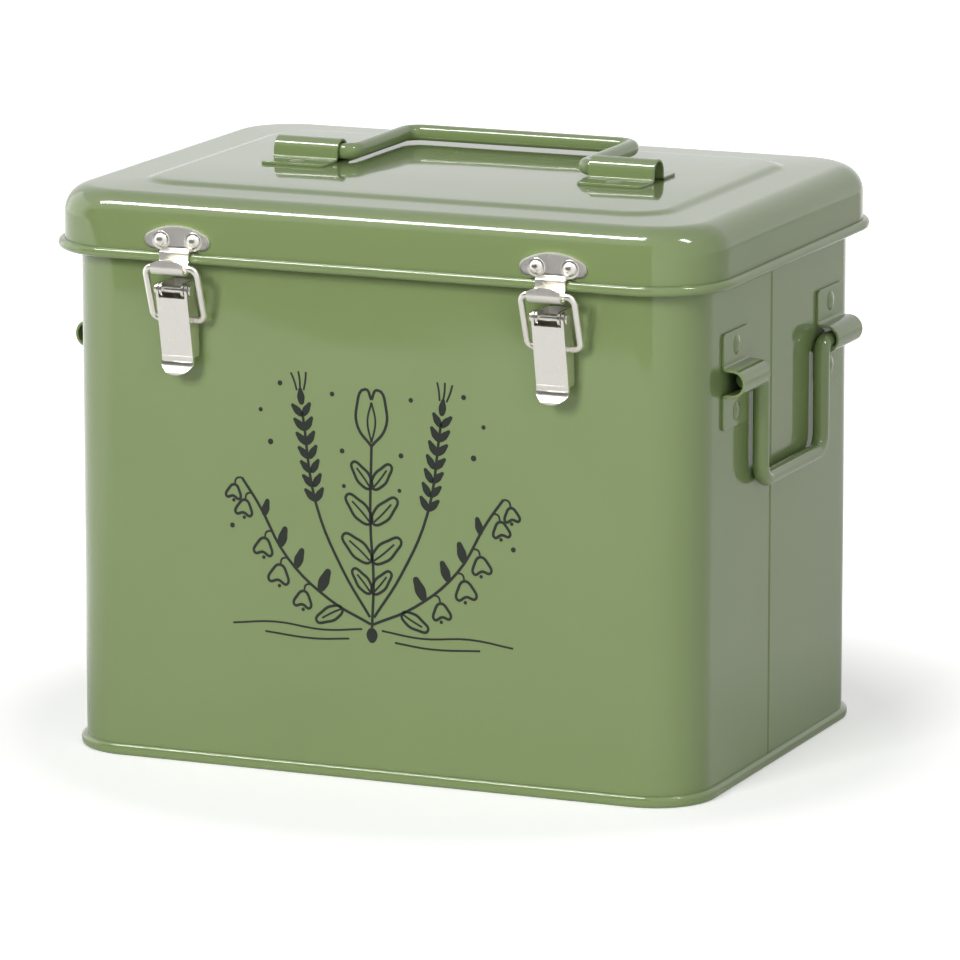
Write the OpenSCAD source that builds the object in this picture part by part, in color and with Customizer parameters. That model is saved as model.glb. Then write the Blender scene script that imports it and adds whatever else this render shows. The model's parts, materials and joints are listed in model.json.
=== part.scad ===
// Seed packet tin: a painted sheet-steel box with a hinged drawn lid, two draw latches,
// a folding carrying bail on the lid and a drop bail on each end.
// X runs to the right, the front faces -Y, and the tin stands on z = 0.

/* [Tin] */
// Width of the tin across its end walls
body_w = 191.5; // [150:0.5:260]
// Depth of the tin from front wall to back wall
body_d = 136.5; // [110:0.5:190]
// Height of the tin to the top of its rolled rim
body_h = 160.7; // [130:0.1:200]
// Outside radius of the four upright corners
corner_r = 17; // [10:0.5:24]
// Thickness of the steel sheet of tin and lid
sheet_t = 0.6; // [0.5:0.05:0.8]
// Radius of the rolled rim round the mouth
rim_r = 1.5; // [1.2:0.1:1.8]

/* [Bottom seam] */
// How far the bottom seam stands out from the walls
seam_out = 1.6; // [1.2:0.1:2.2]
// Height of the bottom seam
seam_h = 3.3; // [3:0.1:5]
// Height of the floor panel's top face above the ground
floor_h = 2.6; // [2:0.1:2.9]
// Distance of the upright lock seam in front of the middle of the right wall
lock_seam_y = 6.4; // [0:0.2:12]
// Width of the folded lock seam inside the wall
lock_seam_w = 5; // [3:0.5:8]
// Thickness of the folded lock seam inside the wall
lock_seam_t = 1.2; // [0.8:0.1:1.6]

/* [Partition] */
// Height of the partition's top edge above the floor panel
partition_h = 112; // [60:1:120]
// Width of the partition's bent end flanges
partition_flange = 9; // [6:0.5:14]

/* [Lid] */
// Height of the lid from the bottom of its hem to its flat top
lid_h = 18.3; // [17:0.1:24]
// Space between the tin wall and the inside of the lid skirt
lid_gap = 4.25; // [3.9:0.05:5]
// Radius of the lid's rounded top edge
shoulder_r = 8; // [6.5:0.25:9]
// How far the rolled hem stands out from the skirt
hem_out = 1.9; // [1.5:0.1:2.2]
// Radius of the rolled hem
hem_r = 1.45; // [1.2:0.05:1.5]
// Clearance between the lid's shoulder and the tin's rim
seat_gap = 0.3; // [0.2:0.05:0.5]
// Height of the pressed panel in the lid's top
panel_rise = 1; // [0.6:0.1:2]
// Distance of the pressed panel's edge from the skirt
panel_inset = 19.7; // [14:0.1:24]
// Corner radius of the pressed panel
panel_r = 14; // [6:0.5:20]
// Width of the slope round the pressed panel
panel_slope = 2.6; // [1.5:0.1:4]

/* [Draw latches] */
// Distance of each latch and each hinge from the middle of the tin
latch_x = 57; // [40:0.5:62]
// Thickness of latch, bracket and hinge plate
plate_t = 0.8; // [0.6:0.05:0.9]
// Diameter of the latch's wire loop
wire_d = 1.9; // [1.6:0.1:2]
// Width of the loop between the middles of its side bars
loop_w = 15.8; // [14.5:0.1:17]
// Width of the latch lever
lever_w = 9.6; // [8.8:0.1:10.2]
// Length of the lever's face below its pivot, to where the finger lip begins
lever_l = 20; // [17:0.5:26]
// Distance of the lever's pivot from the tin wall
pivot_out = 7.8; // [7.5:0.05:8.2]
// Depth of the lever's pivot below the lid hem
pivot_drop = 7.2; // [7:0.1:8]
// Diameter of the lever's pivot pin
pivot_pin_d = 2; // [1.6:0.1:2.2]
// Distance of the loop's ends from the tin wall
loop_end_out = 4.2; // [3.9:0.05:4.4]
// Depth of the loop's ends below the lid hem
loop_end_drop = 16.2; // [15.6:0.1:17]
// Distance of the loop's top bar from the tin wall, latched
catch_out = 9.9; // [9.7:0.05:10.1]
// Depth of the loop's top bar below the lid hem, latched
catch_drop = 0.7; // [0.5:0.05:0.9]
// Width of the strike plate over its two wings
strike_w = 20; // [18:0.5:24]
// Width of the strike plate's hook
hook_w = 10; // [8.5:0.25:10.5]
// Inside radius of the strike plate's hook
hook_r = 1.75; // [1.7:0.05:1.9]
// Height of the hook's front lip above the lid hem's bottom
hook_lip_h = 1.9; // [1.2:0.1:2]

/* [Bails and their brackets] */
// Diameter of the bail rods
rod_d = 4.7; // [4:0.1:5]
// Radius of the bend beside each bracket
pin_bend_r = 3.6; // [3:0.1:4]
// Radius of the bend at each end of a grip
grip_bend_r = 5.2; // [4:0.2:8]
// How far each rod end reaches into its bracket
rod_seat = 11; // [8:0.5:14]
// Length of a bracket along the rod
bracket_l = 20; // [17:0.5:24]
// Width of a bracket over both flanges
bracket_w = 27.4; // [24:0.2:32]
// Inside radius of a bracket's hump
hump_r = 3.2; // [3.1:0.05:3.5]
// Height of the hump's middle above the lid
lid_hump_h = 2.5; // [2.4:0.05:3]
// Distance of the hump's middle from the end wall
side_hump_h = 3.1; // [2.9:0.1:3.5]
// Distance from the middle of a bail to the near end of each lid bracket
lid_bail_half = 39; // [30:0.5:44]
// Reach of the lid bail from its pivot to its grip
lid_bail_reach = 41; // [30:0.5:48]
// How high the lid bail's rod rides above the middle of the hump
lid_rod_lift = 0.4; // [0.2:0.05:0.5]
// Distance from the middle of a bail to the near end of each end bracket
side_bail_half = 27.5; // [24:0.5:32]
// Drop of an end bail from its pivot to its grip
side_bail_reach = 31; // [26:0.5:36]
// Height of the end brackets' middle above the ground
side_bail_z = 117; // [90:0.5:118]
// How far the end bails sit behind the middle of the tin
side_bail_y = 2; // [0:0.5:3]
// How far an end bail's rod hangs below the middle of the hump
side_rod_sag = 0.55; // [0.4:0.05:0.6]

/* [Hinges] */
// Width of a hinge leaf
hinge_w = 28; // [22:0.5:36]
// Distance of the hinge axis from the back wall
hinge_out = 9.4; // [9.2:0.05:10]
// Height of the hinge axis above the bottom of the lid hem
hinge_rise = 2; // [1.9:0.05:2.2]
// Outside radius of a hinge knuckle
knuckle_r = 2; // [1.8:0.05:2.1]
// Diameter of a hinge pin
hinge_pin_d = 2; // [1.6:0.1:2]
// Height of the leaf on the tin's back wall
leaf_h = 15; // [12:0.5:24]

/* [Rivets] */
// Diameter of a rivet's shank
shank_d = 2.4; // [2:0.1:2.8]
// Diameter of the domed heads on latches and hinges
dome_d = 4.2; // [3.8:0.1:4.6]
// Height of the domed heads
dome_h = 1.3; // [0.8:0.1:1.6]
// Diameter of the low heads on the brackets
button_d = 5.6; // [4.6:0.1:6]
// Height of the low heads
button_h = 0.7; // [0.4:0.1:1]

/* [Hidden] */

paint = "#7f9866";
nickel = "#c9c8c4";

// running clearance of a pin in its hole, and of a shank in its hole
pin_clear = 0.05;
// clearance between sheet parts that slide past each other
side_clear = 0.3;

// The lid is lowered until its rounded shoulder meets the rolled rim.
skirt_out = lid_gap + sheet_t;
rim_x = rim_r - sheet_t;
rim_z = body_h - rim_r;
shoulder_x = skirt_out - shoulder_r;
seat_reach = shoulder_r - sheet_t - rim_r - seat_gap;
seat_rise = sqrt(max(0, pow(seat_reach, 2) - pow(rim_x - shoulder_x, 2)));
lid_z = rim_z - seat_rise + shoulder_r;
hem_z = lid_z - lid_h;
skirt_w = body_w + 2 * skirt_out;
skirt_d = body_d + 2 * skirt_out;
skirt_r = corner_r + skirt_out;
panel_z = lid_z + panel_rise;

// Latch linkage, in the side view: distance out from the wall, height above the hem.
pivot = [pivot_out, -pivot_drop];
loop_end = [loop_end_out, -loop_end_drop];
catch_bar = [catch_out, -catch_drop];
loop_l = norm(catch_bar - loop_end);
loop_tilt = atan2(catch_bar.x - loop_end.x, catch_bar.y - loop_end.y);
wire_r = wire_d / 2;
cheek_x = lever_w / 2 - plate_t;
ear_x = cheek_x - side_clear - plate_t;
// the hook's middle lies beyond the bar, so that the wire pulls against its inside
hook_mid = catch_bar + [0.45, 0.5];
// lean of the lever's face towards the wall, latched
face_lean = 11.5;

rod_r = rod_d / 2;
flange_w = bracket_w / 2 - hump_r - plate_t;
bracket_rivet = bracket_w / 2 - 0.44 * flange_w;
pin_head_t = 0.6;
pin_head_out = 0.5;
$fn = 48;

// A rectangle with round corners, centred.
module round_rect(w, d, r) {
    square([w - 2 * r, d], center = true);
    square([w, d - 2 * r], center = true);
    for (x = [-1, 1], y = [-1, 1])
        translate([x * (w / 2 - r), y * (d / 2 - r)]) circle(r = r, $fn = 96);
}

// Carries a profile round a rounded rectangle. The profile's x points away from the middle.
module around(w, d, r) {
    for (i = [0:3]) {
        reach = i % 2 == 0 ? w / 2 : d / 2;
        run = i % 2 == 0 ? d / 2 : w / 2;
        rotate(90 * i) {
            translate([reach, run - r, 0]) rotate([90, 0, 0])
                linear_extrude(2 * (run - r)) children();
            translate([reach - r, run - r, 0])
                rotate_extrude(angle = 90, $fn = 128) translate([r, 0]) children();
        }
    }
}

// Extrudes a side view (out from the wall, up) across the width of a fitting.
module across(w) {
    rotate([90, 0, -90]) linear_extrude(w, center = true) children();
}

// Extrudes a front view (across, up) outwards from the wall, from one distance to another.
module outward(from, to) {
    translate([0, -from, 0]) rotate([90, 0, 0]) linear_extrude(to - from) children();
}

// One straight length of bent sheet in the side view, with round ends.
module strip(a, b, t) {
    translate(a) circle(d = t);
    translate(b) circle(d = t);
    translate(a) rotate(atan2(b.y - a.y, b.x - a.x)) translate([0, -t / 2]) square([norm(b - a), t]);
}

module bent_sheet(points, t) {
    for (i = [0:len(points) - 2]) strip(points[i], points[i + 1], t);
}

// A straight rod along X, and a quarter bend in the XZ plane.
module rod_x(from, to, z, r) {
    translate([from, 0, z]) rotate([0, 90, 0]) cylinder(h = to - from, r = r);
}
module rod_z(x, from, to, r) {
    translate([x, 0, from]) cylinder(h = to - from, r = r);
}
// A pin along X with a flat head on each end.
module pin_with_heads(head_x, r) {
    rod_x(-head_x, head_x, 0, r);
    for (x = [0, 1]) mirror([x, 0, 0]) rod_x(head_x, head_x + pin_head_t, 0, r + pin_head_out);
}
module bend(x, z, bend_r, r, start) {
    translate([x, 0, z]) rotate([90, 0, 0]) rotate(start)
        rotate_extrude(angle = 90) translate([bend_r, 0]) circle(r = r);
}

// A rivet with a domed head on z = 0, a shank through the sheets below and a set end.
module rivet(head_d, head_h, grip) {
    head_r = head_d / 2;
    ball_r = (head_r * head_r + head_h * head_h) / (2 * head_h);
    rotate_extrude() intersection() {
        translate([0, head_h - ball_r]) circle(r = ball_r, $fn = 96);
        square([head_r, head_h]);
    }
    translate([0, 0, -grip]) cylinder(h = grip, d = shank_d);
    translate([0, 0, -grip - sheet_t]) cylinder(h = sheet_t, d = 1.6 * shank_d);
}

// Places
module at_latch(side) {
    translate([side * latch_x, -body_d / 2, hem_z]) children();
}
module at_hinge(side) {
    translate([side * latch_x, body_d / 2, hem_z]) rotate(180) children();
}
module at_lid_bracket(side) {
    translate([side * (lid_bail_half + bracket_l / 2), 0, panel_z]) rotate(90) children();
}
module at_side_bracket(side, along) {
    mirror([side < 0 ? 1 : 0, 0, 0])
        translate([body_w / 2, side_bail_y + along * (side_bail_half + bracket_l / 2), side_bail_z])
            rotate([0, 90, 0]) children();
}
module at_strike_rivets() {
    for (x = [-1, 1]) translate([x * strike_w / 4, -skirt_out - plate_t, strike_rivet_z])
        rotate([90, 0, 0]) children();
}
module at_base_rivets() {
    for (z = base_rivet_z) translate([0, -plate_t, z]) rotate([90, 0, 0]) children();
}
module at_bracket_rivets() {
    for (x = [-1, 1]) translate([x * bracket_rivet, 0, plate_t]) children();
}
module at_hinge_body_rivets() {
    for (x = [-1, 1]) translate([x * hinge_w / 4, -plate_t, hinge_crank_z - leaf_h / 2])
        rotate([90, 0, 0]) children();
}
module at_hinge_lid_rivets() {
    for (x = [-1, 1]) translate([x * hinge_w / 4, -skirt_out - plate_t, lid_leaf_z])
        rotate([90, 0, 0]) children();
}

// A round hole for a shank, through both sheets.
module shank_hole() {
    translate([0, 0, -4 * plate_t]) cylinder(h = 8 * plate_t, r = shank_d / 2 + pin_clear);
}

// Heights above the hem. The strike plate sits just over the hem, the latch base behind the lever.
hem_clear = 0.2;
strike_crest = 4.4;
strike_sole = 3.1;
strike_z = 2 * hem_r + hem_clear + strike_sole;
strike_rivet_z = strike_z;
ear_r = 2;
base_top = -pivot_drop + ear_r;
base_bottom = -pivot_drop - lever_l + ear_r / 2;
base_rivet_z = [-pivot_drop - 0.375 * lever_l, -pivot_drop - 0.675 * lever_l];
hinge_crank_z = -2.2;
lid_leaf_z = (hinge_rise + knuckle_r + lid_h - shoulder_r) / 2;

// Tin
module body_shell() {
    color(paint) difference() {
        union() {
            around(body_w, body_d, corner_r) {
                translate([-sheet_t, sheet_t]) square([sheet_t, rim_z - sheet_t]);
            }
            around(body_w, body_d, corner_r) translate([rim_x, rim_z]) circle(r = rim_r, $fn = 32);
            // the folded lock seam inside the right wall
            translate([body_w / 2 - sheet_t - lock_seam_t, -lock_seam_y - lock_seam_w / 2, floor_h])
                cube([lock_seam_t, lock_seam_w, rim_z - rim_r - floor_h]);
        }
        // the line that the lock seam leaves outside
        translate([body_w / 2 - sheet_t / 2, -lock_seam_y - sheet_t / 2, seam_h + sheet_t])
            cube([sheet_t, sheet_t, rim_z - rim_r - seam_h - 2 * sheet_t]);
        for (side = [-1, 1]) {
            at_latch(side) at_base_rivets() shank_hole();
            at_hinge(side) at_hinge_body_rivets() shank_hole();
            for (along = [-1, 1]) at_side_bracket(side, along) at_bracket_rivets() shank_hole();
        }
    }
}

module bottom_panel() {
    color(paint) {
        around(body_w, body_d, corner_r) {
            // the seam outside, with a rounded edge, the turn under the wall and the leg inside
            edge_r = 0.7;
            square([seam_out - edge_r, seam_h]);
            translate([0, edge_r]) square([seam_out, seam_h - 2 * edge_r]);
            for (z = [edge_r, seam_h - edge_r]) translate([seam_out - edge_r, z]) circle(r = edge_r);
            translate([-2 * sheet_t, 0]) square([2 * sheet_t, sheet_t]);
            translate([-2 * sheet_t, 0]) square([sheet_t, floor_h]);
        }
        translate([0, 0, floor_h - sheet_t]) linear_extrude(sheet_t)
            round_rect(body_w - 4 * sheet_t, body_d - 4 * sheet_t, corner_r - 2 * sheet_t);
    }
}

module partition() {
    inside_d = body_d - 2 * sheet_t;
    hem = 0.9;
    color(paint) translate([0, 0, floor_h]) {
        translate([-sheet_t / 2, -inside_d / 2, 0]) cube([sheet_t, inside_d, partition_h - hem]);
        for (y = [-1, 1]) translate([-sheet_t / 2, y * (inside_d - sheet_t) / 2 - sheet_t / 2, 0])
            cube([partition_flange, sheet_t, partition_h - 2 * hem]);
        translate([0, inside_d / 2 - sheet_t, partition_h - hem]) rotate([90, 0, 0])
            cylinder(h = inside_d - 2 * sheet_t, r = hem);
    }
}

// Lid
module lid_edge_profile() {
    intersection() {
        translate([-shoulder_r, -shoulder_r]) difference() {
            circle(r = shoulder_r, $fn = 96);
            circle(r = shoulder_r - sheet_t, $fn = 96);
        }
        translate([-shoulder_r, -shoulder_r]) square(shoulder_r);
    }
    translate([-sheet_t, hem_r - lid_h]) square([sheet_t, lid_h - hem_r - shoulder_r]);
    translate([hem_out - hem_r, hem_r - lid_h]) circle(r = hem_r, $fn = 32);
}

module lid_shell() {
    top_w = skirt_w - 2 * shoulder_r;
    top_d = skirt_d - 2 * shoulder_r;
    top_r = skirt_r - shoulder_r;
    panel_w = skirt_w - 2 * panel_inset;
    panel_d = skirt_d - 2 * panel_inset;
    color(paint) difference() {
        union() {
            translate([0, 0, lid_z]) around(skirt_w, skirt_d, skirt_r) lid_edge_profile();
            translate([0, 0, lid_z - sheet_t]) linear_extrude(sheet_t) difference() {
                round_rect(top_w, top_d, top_r);
                round_rect(panel_w, panel_d, panel_r);
            }
            translate([0, 0, lid_z]) around(panel_w, panel_d, panel_r)
                polygon([[0, 0], [-panel_slope, panel_rise], [-panel_slope, panel_rise - sheet_t],
                    [0, -sheet_t]]);
            translate([0, 0, panel_z - sheet_t]) linear_extrude(sheet_t)
                round_rect(panel_w - 2 * panel_slope, panel_d - 2 * panel_slope, panel_r - panel_slope);
        }
        for (side = [-1, 1]) {
            at_latch(side) at_strike_rivets() shank_hole();
            at_hinge(side) at_hinge_lid_rivets() shank_hole();
            at_lid_bracket(side) at_bracket_rivets() shank_hole();
        }
    }
}

// Draw latches
// The plate is an oval of two shallow arcs, each running smoothly into the round ends.
module strike_outline() {
    end_r = 2.3;
    end_x = strike_w / 2 - end_r;
    translate([0, strike_z]) {
        for (x = [-1, 1]) translate([x * end_x, 0]) circle(r = end_r);
        strike_arc(strike_crest, end_x, end_r);
        mirror([0, 1]) strike_arc(strike_sole, end_x, end_r);
    }
}

// The part between the round ends under an arc that is this high in the middle and touches both.
module strike_arc(rise, end_x, end_r) {
    arc_r = (end_x * end_x + rise * rise - end_r * end_r) / (2 * (rise - end_r));
    touch_x = arc_r * end_x / (arc_r - end_r);
    intersection() {
        translate([0, rise - arc_r]) circle(r = arc_r, $fn = 192);
        translate([-touch_x, -end_r / 2]) square([2 * touch_x, rise + end_r]);
    }
}

module strike_plate(side) {
    neck_w = hook_w - 1;
    mid_r = hook_r + plate_t / 2;
    sheet_x = skirt_out + plate_t / 2;
    over_hem = skirt_out + hem_out + hem_clear + plate_t / 2;
    neck_z = strike_z - strike_sole + plate_t;
    lip_r = hook_w;
    color(nickel) at_latch(side) difference() {
        union() {
            outward(skirt_out, skirt_out + plate_t) strike_outline();
            across(neck_w) bent_sheet([[sheet_x, neck_z], [over_hem, 2 * hem_r + hem_clear],
                [over_hem, hem_r / 2], [hook_mid.x - mid_r, hook_mid.y]], plate_t);
            intersection() {
                across(hook_w) {
                    intersection() {
                        translate(hook_mid) difference() {
                            circle(r = hook_r + plate_t);
                            circle(r = hook_r);
                        }
                        translate([hook_mid.x - 2 * mid_r, hook_mid.y - 2 * mid_r])
                            square([4 * mid_r, 2 * mid_r]);
                    }
                    translate([hook_mid.x + hook_r, hook_mid.y])
                        square([plate_t, hook_lip_h - hook_mid.y]);
                }
                // the lip's top edge is a low arc
                outward(0, 3 * catch_out) translate([0, hook_lip_h - lip_r]) circle(r = lip_r, $fn = 128);
            }
        }
        at_strike_rivets() shank_hole();
    }
}

module strike_rivets() {
    color(nickel) for (side = [-1, 1]) at_latch(side) at_strike_rivets()
        rivet(dome_d, dome_h, plate_t + sheet_t);
}

module latch_base(side) {
    // the foot is as wide as the two ears over all, so that the lever closes over it
    foot_w = 2 * (ear_x + plate_t);
    foot_r = 1.5;
    color(nickel) at_latch(side) difference() {
        union() {
            outward(0, plate_t) translate([0, (base_top + base_bottom) / 2])
                round_rect(foot_w, base_top - base_bottom, foot_r);
            for (x = [-1, 1]) translate([x * (ear_x + plate_t / 2), 0, 0]) across(plate_t) {
                translate(pivot) circle(r = ear_r);
                polygon([[plate_t / 2, pivot.y + ear_r], [pivot.x, pivot.y + ear_r],
                    [pivot.x, pivot.y - ear_r], [plate_t / 2, pivot.y - 3 * ear_r]]);
            }
        }
        across(lever_w) translate(pivot) circle(d = pivot_pin_d + pin_clear);
        at_base_rivets() shank_hole();
    }
}

module latch_base_rivets() {
    color(nickel) for (side = [-1, 1]) at_latch(side) at_base_rivets()
        rivet(dome_d, dome_h / 2, plate_t + sheet_t);
}

module latch_pin(side) {
    head_x = lever_w / 2 + side_clear / 2;
    color(nickel) at_latch(side) translate([0, -pivot.x, pivot.y]) {
        pin_with_heads(head_x, pivot_pin_d / 2);
    }
}

module latch_lever(side) {
    eye_r = 1.9;
    lip_r = 4.2;
    lip_turn = 76;
    // the lip is pressed a little fuller than the sheet and begins on the face
    lip_t = plate_t + 0.1;
    lip_lap = 6;
    // the lip's end is an arc a little wider than the lever, this far below the face
    tip_r = 0.6 * lever_w;
    tip_drop = 4.9;
    // the face leans in towards the wall from just below the pivot
    face_top = pivot + [1.5, -2.3];
    face_end = face_top + (lever_l - 2.3) * [-sin(face_lean), -cos(face_lean)];
    // the cheeks' back edge passes behind the loop's ends and comes near the wall at the bottom
    heel = loop_end + [-2.3, 1.2];
    toe = [1.5, face_end.y + 1];
    inset = plate_t / 2 * [-cos(face_lean), sin(face_lean)];
    lip_mid = face_end + inset + lip_r * [cos(face_lean), -sin(face_lean)];
    color(nickel) at_latch(side) difference() {
        union() {
            // cheeks with the pivot eyes
            for (x = [-1, 1]) translate([x * (cheek_x + plate_t / 2), 0, 0]) across(plate_t) {
                translate(pivot) circle(r = eye_r);
                polygon([pivot - [eye_r, 0], heel, toe, [toe.x + 0.4, face_end.y], face_end,
                    face_top, pivot + [eye_r, 0]]);
            }
            // the face runs into the finger lip, which curls outwards and has a round end
            intersection() {
                across(lever_w) {
                    polygon([face_top, face_end, face_end + 2 * inset, face_top + 2 * inset]);
                    translate(lip_mid) rotate(180 - face_lean) intersection() {
                        difference() {
                            circle(r = lip_r + lip_t / 2);
                            circle(r = lip_r - lip_t / 2);
                        }
                        polygon([[0, 0], 3 * lip_r * [cos(lip_lap), -sin(lip_lap)],
                            [3 * lip_r, 3 * lip_r], 3 * lip_r * [cos(lip_turn), sin(lip_turn)]]);
                    }
                }
                outward(0, 3 * catch_out) {
                    translate([-lever_w, face_end.y]) square([2 * lever_w, lever_l]);
                    translate([0, face_end.y - tip_drop + tip_r]) circle(r = tip_r, $fn = 64);
                }
            }
        }
        across(2 * lever_w) translate(pivot) circle(r = pivot_pin_d / 2 + pin_clear);
        across(2 * lever_w) translate(loop_end) circle(r = wire_r + pin_clear);
    }
}

module latch_loop(side) {
    top_bend = 2.4;
    end_bend = 2;
    half = loop_w / 2;
    color(nickel) at_latch(side) translate([0, -loop_end.x, loop_end.y]) rotate([loop_tilt, 0, 0]) {
        for (x = [0, 1]) mirror([x, 0, 0]) {
            rod_x(cheek_x - side_clear, half - end_bend, 0, wire_r);
            bend(half - end_bend, end_bend, end_bend, wire_r, 270);
            rod_z(half, end_bend, loop_l - top_bend, wire_r);
            bend(half - top_bend, loop_l - top_bend, top_bend, wire_r, 0);
        }
        rod_x(-half + top_bend, half - top_bend, loop_l, wire_r);
    }
}

// Bails and brackets
module bracket(hump_h) {
    out_r = hump_r + plate_t;
    blend = 0.8;
    flange_r = 1.6;
    color(paint) difference() {
        intersection() {
            rotate([90, 0, 0]) linear_extrude(bracket_l, center = true) difference() {
                union() {
                    translate([-bracket_w / 2, 0]) square([bracket_w, plate_t]);
                    translate([0, hump_h]) circle(r = out_r, $fn = 96);
                    translate([-out_r, 0]) square([2 * out_r, hump_h]);
                    for (x = [0, 1]) mirror([x, 0]) translate([out_r, plate_t]) difference() {
                        square(blend);
                        translate([blend, blend]) circle(r = blend);
                    }
                }
                translate([0, hump_h]) circle(r = hump_r, $fn = 96);
                translate([-hump_r, -plate_t]) square([2 * hump_r, hump_h + plate_t]);
            }
            linear_extrude(3 * out_r) round_rect(bracket_w, bracket_l, flange_r);
        }
        at_bracket_rivets() shank_hole();
    }
}

module bracket_rivets() {
    color(paint) at_bracket_rivets() rivet(button_d, button_h, plate_t + sheet_t);
}

module lid_bracket_rivets() {
    for (side = [-1, 1]) at_lid_bracket(side) bracket_rivets();
}

module side_bracket_rivets() {
    for (side = [-1, 1], along = [-1, 1]) at_side_bracket(side, along) bracket_rivets();
}

// A bail hanging from the X axis, with its two ends turned outwards into the brackets.
module bail(half, reach) {
    arm = half - pin_bend_r + side_clear;
    color(paint) for (x = [0, 1]) mirror([x, 0, 0]) {
        rod_x(arm + pin_bend_r, half + rod_seat, 0, rod_r);
        bend(arm + pin_bend_r, -pin_bend_r, pin_bend_r, rod_r, 90);
        rod_z(arm, -reach + grip_bend_r, -pin_bend_r, rod_r);
        bend(arm - grip_bend_r, -reach + grip_bend_r, grip_bend_r, rod_r, 270);
        rod_x(0, arm - grip_bend_r, -reach, rod_r);
    }
}

module lid_bail() {
    translate([0, 0, panel_z + lid_hump_h + lid_rod_lift]) rotate([90, 0, 0])
        bail(lid_bail_half, lid_bail_reach);
}

module side_bail(side) {
    mirror([side < 0 ? 1 : 0, 0, 0])
        translate([body_w / 2 + side_hump_h, side_bail_y, side_bail_z - side_rod_sag]) rotate(90)
            bail(side_bail_half, side_bail_reach);
}

// Hinges: the leaf on the tin carries the two outer knuckles, the leaf on the lid the middle one.
hinge_axis = [hinge_out, hinge_rise];
mid_knuckle = hinge_w / 3;
end_knuckle = (hinge_w - mid_knuckle) / 2 - side_clear;
end_knuckle_x = (hinge_w - end_knuckle) / 2;

module hinge_leaf_body(side) {
    out = hinge_out - knuckle_r + plate_t / 2;
    half_t = plate_t / 2;
    color(paint) at_hinge(side) difference() {
        union() {
            outward(0, plate_t) translate([0, hinge_crank_z - leaf_h / 2])
                round_rect(hinge_w, leaf_h + plate_t, 2);
            for (x = [-1, 1]) translate([x * end_knuckle_x, 0, 0]) across(end_knuckle) {
                bent_sheet([[half_t, hinge_crank_z], [out, hinge_crank_z], [out, hinge_rise]], plate_t);
                translate(hinge_axis) circle(r = knuckle_r);
            }
        }
        across(2 * hinge_w) translate(hinge_axis) circle(r = hinge_pin_d / 2 + pin_clear);
        at_hinge_body_rivets() shank_hole();
    }
}

module hinge_leaf_lid(side) {
    up = hinge_rise + knuckle_r - plate_t / 2;
    leaf_top = lid_h - shoulder_r - plate_t / 2;
    color(paint) at_hinge(side) difference() {
        union() {
            outward(skirt_out, skirt_out + plate_t) translate([0, (leaf_top + up - plate_t / 2) / 2])
                round_rect(hinge_w, leaf_top - up + plate_t / 2, 1.6);
            across(mid_knuckle) {
                bent_sheet([[skirt_out + plate_t / 2, up], [hinge_out, up]], plate_t);
                translate(hinge_axis) circle(r = knuckle_r);
            }
        }
        across(2 * hinge_w) translate(hinge_axis) circle(r = hinge_pin_d / 2 + pin_clear);
        at_hinge_lid_rivets() shank_hole();
    }
}

module hinge_pin(side) {
    color(nickel) at_hinge(side) translate([0, -hinge_out, hinge_rise]) {
        pin_with_heads(hinge_w / 2, hinge_pin_d / 2);
    }
}

module hinge_rivets_body() {
    color(paint) for (side = [-1, 1]) at_hinge(side) at_hinge_body_rivets()
        rivet(dome_d, dome_h / 2, plate_t + sheet_t);
}

module hinge_rivets_lid() {
    color(paint) for (side = [-1, 1]) at_hinge(side) at_hinge_lid_rivets()
        rivet(dome_d, dome_h / 2, plate_t + sheet_t);
}

body_shell();
bottom_panel();
partition();
lid_shell();
strike_plate(-1);  // strike_plate_left
strike_plate(1);  // strike_plate_right
strike_rivets();
latch_base(-1);  // latch_base_left
latch_base(1);  // latch_base_right
latch_base_rivets();
latch_pin(-1);  // latch_pin_left
latch_pin(1);  // latch_pin_right
latch_lever(-1);  // latch_lever_left
latch_lever(1);  // latch_lever_right
latch_loop(-1);  // latch_loop_left
latch_loop(1);  // latch_loop_right
at_lid_bracket(-1) bracket(lid_hump_h);  // lid_bracket_left
at_lid_bracket(1) bracket(lid_hump_h);  // lid_bracket_right
lid_bracket_rivets();
lid_bail();
at_side_bracket(-1, -1) bracket(side_hump_h);  // side_bracket_left_front
at_side_bracket(-1, 1) bracket(side_hump_h);  // side_bracket_left_rear
at_side_bracket(1, -1) bracket(side_hump_h);  // side_bracket_right_front
at_side_bracket(1, 1) bracket(side_hump_h);  // side_bracket_right_rear
side_bracket_rivets();
side_bail(-1);  // side_bail_left
side_bail(1);  // side_bail_right
hinge_leaf_body(-1);  // hinge_leaf_body_left
hinge_leaf_body(1);  // hinge_leaf_body_right
hinge_leaf_lid(-1);  // hinge_leaf_lid_left
hinge_leaf_lid(1);  // hinge_leaf_lid_right
hinge_pin(-1);  // hinge_pin_left
hinge_pin(1);  // hinge_pin_right
hinge_rivets_body();
hinge_rivets_lid();
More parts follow.
